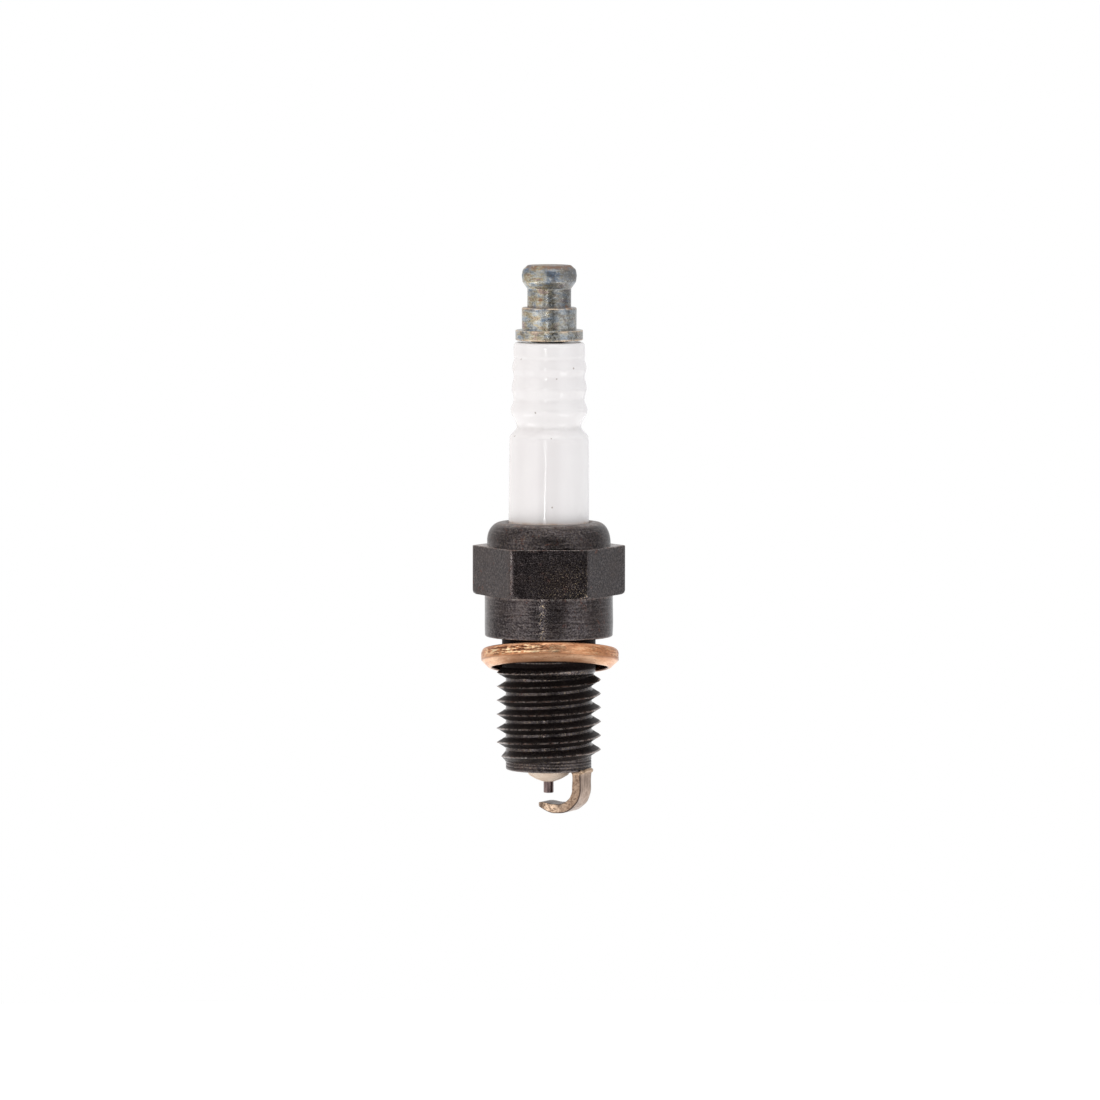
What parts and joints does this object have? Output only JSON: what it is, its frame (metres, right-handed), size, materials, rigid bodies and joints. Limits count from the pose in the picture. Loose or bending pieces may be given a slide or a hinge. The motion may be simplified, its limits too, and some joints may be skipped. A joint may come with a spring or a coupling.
{
  "type": "spark plug",
  "caption": "Small threaded spark plug with hex shell, ribbed ceramic insulator, screw terminal, J-shaped ground strap and loose crush gasket.",
  "frame": {"origin": "on the plug's axis, in the plane of the shell's gasket seat, where the cylinder head holds it", "axes": "+Z along the plug's axis towards the terminal nut; two flats of the hexagon face -Y and +Y"},
  "size_m": [0.0092, 0.0082, 0.0331],
  "materials": {
    "black_oxide_steel": "black oxide, satin, with worn edges",
    "nickel_alloy": "bare nickel alloy, dull",
    "copper": "bare copper, lightly tarnished",
    "white_glaze": "white glaze, glossy; nose unglazed",
    "zinc_plate": "zinc plated with a faint rainbow passivation",
    "plain_steel": "plain turned steel",
    "seal_glass": "fused conductive glass",
    "resistor_compound": "pressed carbon and glass compound",
    "talc": "pressed talc powder",
    "dark_wire": "dark fine wire"
  },
  "bodies": {
    "plug": {"shell": "black_oxide_steel", "ground_electrode": "nickel_alloy", "insulator": "white_glaze", "terminal_stud": "plain_steel", "upper_glass_seal": "seal_glass", "resistor": "resistor_compound", "lower_glass_seal": "seal_glass", "electrode_sheath": "nickel_alloy", "electrode_core": "copper", "electrode_tip": "dark_wire", "seat_washer": "plain_steel", "lower_packing_ring": "plain_steel", "talc_packing": "talc", "upper_packing_ring": "plain_steel"},
    "terminal_nut": {"terminal_nut": "zinc_plate"},
    "gasket": {"gasket": "copper"}
  },
  "joints": [
    {"name": "terminal_nut_off", "type": "slide", "parent": "plug", "child": "terminal_nut", "axis": [0, 0, 1], "range_m": [0, 0.0045]},
    {"name": "gasket_spin", "type": "hinge", "parent": "plug", "child": "gasket", "pos_m": [0, 0, 0], "axis": [0, 0, 1], "continuous": true}
  ]
}
